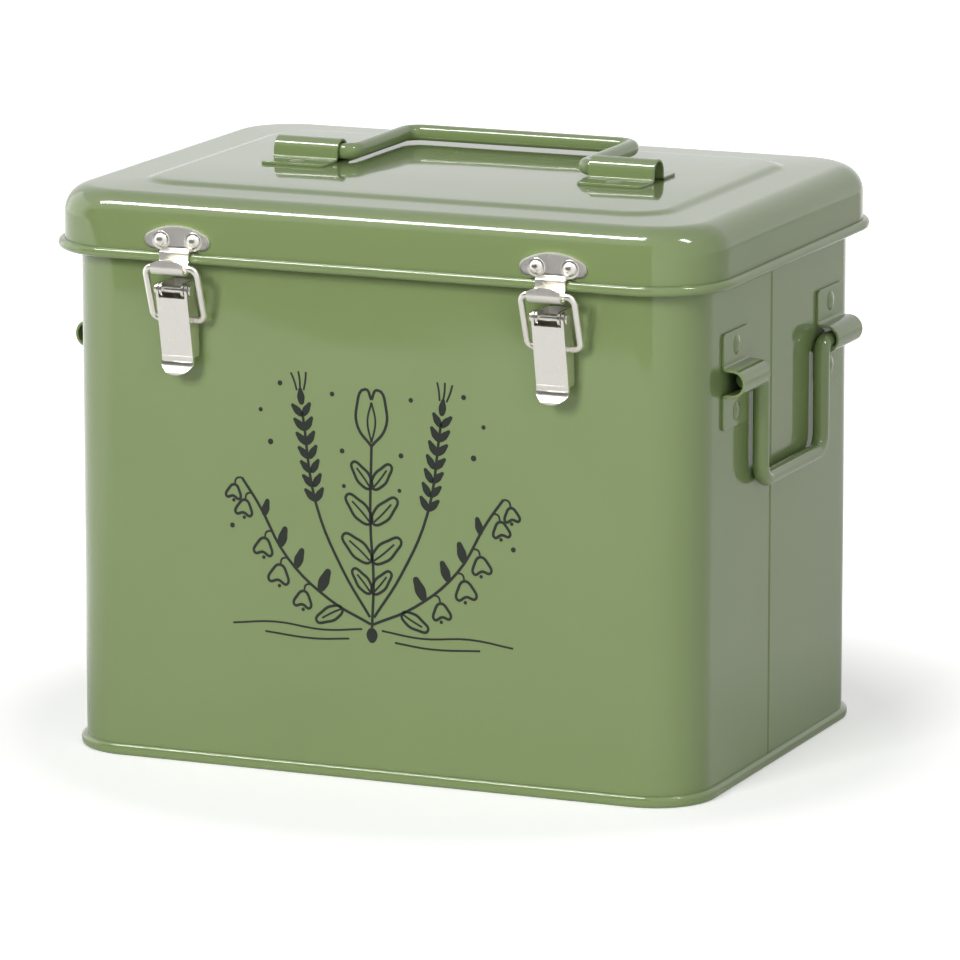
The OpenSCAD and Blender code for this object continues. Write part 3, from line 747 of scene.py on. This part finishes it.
lidBracket = makeBracket("lidBracketMaster", bracketSettings, bracketSettings["lidHump"])
sideBracket = makeBracket("sideBracketMaster", bracketSettings, bracketSettings["sideHump"])
for side, word in halves:
    x, y, z = bracketSettings["lidAt"]
    finishPiece(placeCopy(lidBracket, "lidBracket_" + word, (side * x, y, z), (0, 0, 90)),
                "lid", "painted_steel", ["lid_bracket_" + word])
    x, y, z = bracketSettings["sideAt"]
    for along, end in ((-1, "front"), (1, "rear")):
        place = (side * x, y + along * bracketSettings["sideSpread"], z)
        finishPiece(placeCopy(sideBracket, "sideBracket_" + word + "_" + end, place, (0, side * 90, 0)),
                    "tin", "painted_steel", ["side_bracket_" + word + "_" + end])
dropMaster(lidBracket)
dropMaster(sideBracket)
print("brackets ready")

# Rivets: a domed head outside, a set end inside
rivetSettings = {
    "dome": (4.2, 1.3), "low": (4.2, 0.65), "button": (5.6, 0.7), "tail": (3.84, 0.6), "grip": 1.4,
    "ring": (5.3, 0.45, 0.12),      # under a domed head: width, thickness, height over the sheet
    "tailEdge": 0.25, "ringEdge": 0.15,
}


def makeRivet(name, settings, head):
    width, height = settings[head]
    ball = (width * width / 4 + height * height) / (2 * height)
    rings = int(70 * ball / width)      # a flat dome is cut from a large ball and needs more of them
    bpy.ops.mesh.primitive_uv_sphere_add(segments=32, ring_count=rings, radius=ball * mm,
                                         location=(0, 0, (height - ball) * mm))
    rivet = bpy.context.object
    placeInMesh(rivet)
    startEdit(rivet)
    bpy.ops.mesh.select_all(action="SELECT")
    bpy.ops.mesh.bisect(plane_co=(0, 0, 0), plane_no=(0, 0, 1), clear_inner=True, use_fill=True)
    endEdit()
    tailWidth, tailHeight = settings["tail"]
    bpy.ops.mesh.primitive_cylinder_add(vertices=32, radius=tailWidth / 2 * mm, depth=tailHeight * mm,
                                        location=(0, 0, -(settings["grip"] + tailHeight / 2) * mm))
    tail = bpy.context.object
    placeInMesh(tail)
    addModifier(tail, "BEVEL", {"width": settings["tailEdge"] * mm, "segments": 3})
    parts = [rivet, tail]
    if head == "dome":
        ringWidth, ringThick, ringTop = settings["ring"]
        bpy.ops.mesh.primitive_cylinder_add(vertices=48, radius=ringWidth / 2 * mm,
                                            depth=ringThick * mm,
                                            location=(0, 0, (ringTop - ringThick / 2) * mm))
        ring = bpy.context.object
        placeInMesh(ring)
        addModifier(ring, "BEVEL", {"width": settings["ringEdge"] * mm, "segments": 3})
        parts.append(ring)
    rivet = joinPieces(name, parts)
    smooth(rivet, 40)
    return rivet


def makeRivets(node, row):
    # the row stands on both halves: at x and the steps off it, at each y and each z. The turn is
    # about X, and about Y towards the half's own side
    rivet = makeRivet(row["name"] + "Master", rivetSettings, row["head"])
    turnX, turnY = row["turn"]
    copies = [placeCopy(rivet, row["name"], (side * row["x"] + step, y, z), (turnX, side * turnY, 0))
              for side in (-1, 1) for step in row["steps"] for y in row["ys"] for z in row["zs"]]
    finishPiece(joinPieces(row["name"], copies), row["body"], row["slot"], [node])
    dropMaster(rivet)


latchX = 57     # latches and hinges stand this far to each side
rivetRows = {
    "strike_rivets": {
        "name": "strikeRivets", "head": "dome", "body": "lid", "slot": "plated_steel",
        "x": latchX, "steps": (-5, 5), "ys": (-73.9,), "zs": (151.2325,), "turn": (90, 0)},
    "latch_base_rivets": {
        "name": "latchBaseRivets", "head": "low", "body": "tin", "slot": "plated_steel",
        "x": latchX, "steps": (0,), "ys": (-69.05,), "zs": (130.3325, 124.3325), "turn": (90, 0)},
    "lid_bracket_rivets": {
        "name": "lidBracketRivets", "head": "button", "body": "lid", "slot": "painted_steel",
        "x": 49, "steps": (0,), "ys": (-9.432, 9.432), "zs": (165.1325,), "turn": (0, 0)},
    "side_bracket_rivets": {
        "name": "sideBracketRivets", "head": "button", "body": "tin", "slot": "painted_steel",
        "x": 96.55, "steps": (0,), "ys": (-35.5, 39.5), "zs": (107.568, 126.432), "turn": (0, 90)},
    "hinge_rivets_body": {
        "name": "hingeBodyRivets", "head": "low", "body": "tin", "slot": "painted_steel",
        "x": latchX, "steps": (-7, 7), "ys": (69.05,), "zs": (135.3325,), "turn": (-90, 0)},
    "hinge_rivets_lid": {
        "name": "hingeLidRivets", "head": "low", "body": "lid", "slot": "painted_steel",
        "x": latchX, "steps": (-7, 7), "ys": (73.9,), "zs": (152.1825,), "turn": (-90, 0)},
}
for node, row in rivetRows.items():
    makeRivets(node, row)
print("rivets ready")


# Stamped fittings
def softCopy(node, name, body, slot, edge, dish=None, weld=0.004):
    # a copy of the CAD solid, merged and cleaned, with its sharp edges rolled over as after tumbling;
    # dish says which faces are pressed in, how wide a rim stays round them, and how deep they go
    piece = bpy.data.objects.new(name, cadNodes[node].data.copy())
    piece.data.name = name
    bpy.context.collection.objects.link(piece)
    piece.matrix_world = cadNodes[node].matrix_world
    placeInMesh(piece)
    bpy.ops.mesh.customdata_custom_splitnormals_clear()
    startEdit(piece)
    bpy.ops.mesh.select_all(action="SELECT")
    bpy.ops.mesh.remove_doubles(threshold=weld * mm)
    bpy.ops.mesh.dissolve_limited(angle_limit=math.radians(0.5))
    bpy.ops.mesh.normals_make_consistent(inside=False)
    if dish:
        test, rim, sink = dish
        bpy.ops.mesh.select_all(action="DESELECT")
        pick(piece, "faces", test)
        bpy.ops.mesh.inset(thickness=rim * mm, depth=-sink * mm, use_even_offset=True)
    endEdit()
    rollEdges(piece, edge, 40)
    smooth(piece, 60)
    flattenShading(piece)
    finishPiece(piece, body, slot, [node])


# Draw latch: strike plate with a raised rim, riveted base with two ears, folded lever and wire loop
latchSettings = {
    "wire": 0.95, "loopHalf": 7.9, "stub": 3.7, "endBend": 2, "topBend": 2.4, "soften": 0.15,
    "loopLength": 16.5146, "loopAt": (latchX, -72.45, 128.8325), "loopTilt": 20.19,
    "plateFace": -73.9, "plateRim": 0.55, "plateSink": 0.22,
    "lipTop": 117.2, "lipRim": 0.5, "lipSink": 0.3,
    "plateEdge": 0.14, "baseEdge": 0.15, "leverEdge": 0.16, "leverWeld": 0.06,
}


def onPlateFace(middle, face):
    return face.normal.y < -0.99 and same(middle.y, latchSettings["plateFace"], 0.02)


def onLeverLip(middle, face):
    # the finger lip's scoop faces front and a little up
    return face.normal.y < -0.4 and face.normal.z > 0.1 and middle.z < latchSettings["lipTop"]


def makeLatchLoop(name, settings):
    half, endBend, topBend = settings["loopHalf"], settings["endBend"], settings["topBend"]
    top = settings["loopLength"]
    loop = startRod(name, settings["wire"], settings["stub"])
    pushOn(half - endBend - settings["stub"], 0)
    spinOn((half - endBend, 0, endBend), 90)
    pushOn(0, top - topBend - endBend)
    spinOn((half - topBend, 0, top - topBend), 90)
    pushOn(topBend - half, 0)
    finishRod(loop, settings["soften"])
    return loop


latchLoop = makeLatchLoop("latchLoopMaster", latchSettings)
for side, word in halves:
    x, y, z = latchSettings["loopAt"]
    tilt = (latchSettings["loopTilt"], 0, 0)
    finishPiece(placeCopy(latchLoop, "latchLoop_" + word, (side * x, y, z), tilt),
                "loop_" + word, "plated_steel", ["latch_loop_" + word])
    softCopy("strike_plate_" + word, "strikePlate_" + word, "lid", "plated_steel",
             latchSettings["plateEdge"],
             dish=(onPlateFace, latchSettings["plateRim"], latchSettings["plateSink"]))
    softCopy("latch_base_" + word, "latchBase_" + word, "tin", "plated_steel",
             latchSettings["baseEdge"])
    softCopy("latch_lever_" + word, "latchLever_" + word, "lever_" + word, "plated_steel",
             latchSettings["leverEdge"], weld=latchSettings["leverWeld"],
             dish=(onLeverLip, latchSettings["lipRim"], latchSettings["lipSink"]))
    softCopy("latch_pin_" + word, "latchPin_" + word, "tin", "plated_steel",
             latchSettings["baseEdge"])
dropMaster(latchLoop)
print("latches ready")

# Hinges at the back, painted over with the tin, and the partition with its rolled top edge
hingeSettings = {"leafEdge": 0.15, "pinEdge": 0.2}
partitionSettings = {"edge": 0.15}
for side, word in halves:
    softCopy("hinge_leaf_body_" + word, "hingeLeafBody_" + word, "tin", "painted_steel",
             hingeSettings["leafEdge"])
    softCopy("hinge_leaf_lid_" + word, "hingeLeafLid_" + word, "lid", "painted_steel",
             hingeSettings["leafEdge"])
    softCopy("hinge_pin_" + word, "hingePin_" + word, "tin", "plated_steel", hingeSettings["pinEdge"])
softCopy("partition", "partitionSheet", "tin", "painted_steel", partitionSettings["edge"])
print("hinges and partition ready")

# Print: line drawing of a seedling plant, screen printed on the front wall
printSettings = {
    "face": -68.25, "line": 0.85, "thin": 0.6,
    "flat": 0.02,         # share of their height that the round strokes keep
    "film": 0.015,        # how far the ink stands off the wall
    "grainPairs": 7, "earTip": (21.35, 106.2),
}


def inkShape(points, width, closed=False, full=False):
    # a curve through these points (across, up), as a stroke or as the filled shape inside them
    line = bpy.data.curves.new("inkStroke", "CURVE")
    line.dimensions = "2D" if full else "3D"
    line.resolution_u = 5
    spline = line.splines.new("BEZIER")
    spline.bezier_points.add(len(points) - 1)
    for knot, (across, up) in zip(spline.bezier_points, points):
        knot.co = (across * mm, up * mm, 0)
        knot.handle_left_type = knot.handle_right_type = "AUTO"
    spline.use_cyclic_u = closed
    if full:
        line.fill_mode = "BOTH"
    else:
        line.bevel_depth = width / 2 * mm
        line.bevel_resolution = 1
    stroke = bpy.data.objects.new("inkStroke", line)
    bpy.context.collection.objects.link(stroke)
    return stroke


def inkDot(across, up, size):
    bpy.ops.mesh.primitive_circle_add(vertices=20, radius=size / 2 * mm, fill_type="NGON",
                                      location=(across * mm, up * mm, 0))
    dot = bpy.context.object
    placeInMesh(dot)
    return dot


def turned(points, place, angle, scale):
    # moves a small motif drawn upright at the origin to its place
    turn = math.radians(angle)
    return [(place[0] + scale * (x * math.cos(turn) - y * math.sin(turn)),
             place[1] + scale * (x * math.sin(turn) + y * math.cos(turn))) for x, y in points]


leafOutline = [(0, 0), (2.2, 3.2), (1.9, 7), (0, 10.5), (-1.9, 7), (-2.2, 3.2)]
grainOutline = [(0, 0), (1.1, 1.7), (0.8, 3.7), (0, 5), (-0.8, 3.7), (-1.1, 1.7)]
petalOutline = [(0, 0), (3.6, 4.5), (3.9, 9.5), (1.6, 14), (0, 11.5)]
bellOutline = [(0, 0), (1.7, -1.6), (2.1, -3.9), (0, -3.4), (-2.1, -3.9), (-1.7, -1.6)]


def makePrint(settings):
    line, thin = settings["line"], settings["thin"]
    tipX, tipY = settings["earTip"]
    strokes = []

    def draw(points, width=line, closed=False):
        strokes.append(inkShape(points, width, closed))

    def leaf(place, angle, scale):
        draw(turned(leafOutline, place, angle, scale), line, True)
        draw(turned([(0, 0.5), (0.15, 4), (0, 8.2)], place, angle, scale), thin)

    def fullShape(points, place, angle, scale):
        strokes.append(inkShape(turned(points, place, angle, scale), 0, True, True))

    # middle stem with the open bud on top
    draw([(0, 44), (0.5, 58), (-0.4, 74), (0, 96)])
    draw(turned(petalOutline, (0, 96), 0, 1.15))
    draw([(-x, y) for x, y in turned(petalOutline, (0, 96), 0, 1.15)])
    draw(turned([(0, 0), (1.2, 6), (0, 11.5)], (0, 97), 0, 1.0), thin)
    draw(turned([(0, 0), (-1.2, 6), (0, 11.5)], (0, 97), 0, 1.0), thin)
    for side in (-1, 1):
        def across(points):
            return [(side * x, y) for x, y in points]

        # leaves in pairs up the stem
        for up, angle, scale in ((54, 40, 0.8), (63, 50, 1.05), (74, 44, 1.0), (84, 38, 0.85)):
            leaf((side * 0.3, up), -side * angle, scale)
        # two ears of grain that lean outwards
        draw(across([(0.6, 47), (9, 60), (17, 78), (21, 103)]))
        for step in range(settings["grainPairs"]):
            share = step / (settings["grainPairs"] - 1)
            place = (side * (17.2 + 3.9 * share), 79 + 24 * share)
            for lean in (-38, 38):
                fullShape(grainOutline, place, -side * 8 + lean, 0.95)
        tip = (side * tipX, tipY)
        fullShape(grainOutline, tip, -side * 6, 1.0)
        for whisker in (-14, 0, 14):
            draw(turned([(0, 5.4), (0.2, 9), (0, 12)], tip, -side * 6 + whisker, 0.8), thin)
        # low arching stalk with hanging bells
        draw(across([(0.4, 45), (13, 51), (26, 62), (35, 77), (40, 84)]))
        for x, y, size in ((18.7, 55, 1.0), (26, 62, 1.15), (30.8, 69.3, 1.05), (36.8, 79.8, 0.95),
                           (40, 84, 0.85)):
            hangX, hangY = x + 2.2, y - 2.2
            draw(across([(x, y), (x + 1.6, y - 0.4), (hangX, hangY)]), thin)
            draw(turned(bellOutline, (side * hangX, hangY), side * 8, 1.15 * size), line, True)
            strokes.append(inkDot(side * (hangX + 0.3), hangY - 5.3 * size, 1.1))
        leaf((side * 9.2, 48.8), -side * 118, 0.85)
        for x, y, angle, scale in ((16.1, 53.1, 24, 0.7), (23.4, 59.2, 20, 0.6), (28.2, 64.9, 16, 0.6),
                                   (33.2, 73.4, 14, 0.5)):
            fullShape(leafOutline, (side * x, y), side * angle, scale)
        # furrow lines of the bed and scattered seed
        draw(across([(3, 43.4), (15, 42.2), (30, 43.2), (43, 41.8)]), thin)
        draw(across([(7, 40.3), (18, 39.4), (33, 40.2)]), thin)
        for x, y, size in ((9, 94, 1.5), (31, 95, 1.7), (12, 110, 1.4), (34, 104, 1.3), (28, 112, 1.5),
                           (43, 70, 1.5), (8.5, 84, 1.2)):
            strokes.append(inkDot(side * x, y, size))
    # round seed at the root
    fullShape([(0, 44), (1.6, 42.6), (1.2, 40.4), (0, 39.6), (-1.2, 40.4), (-1.6, 42.6)], (0, 0), 0, 1)
    useOnly(strokes[0])
    for stroke in strokes:
        stroke.select_set(True)
    bpy.ops.object.convert(target="MESH")
    drawing = joinPieces("frontPrint", strokes)
    drawing.scale = (1, 1, settings["flat"])
    drawing.rotation_euler = (math.radians(90), 0, 0)
    drawing.location.y = (settings["face"] - settings["film"]) * mm
    placeInMesh(drawing)
    smooth(drawing, 60)
    finishPiece(drawing, "tin", "painted_steel", [], printInk)


makePrint(printSettings)
print("front print ready")
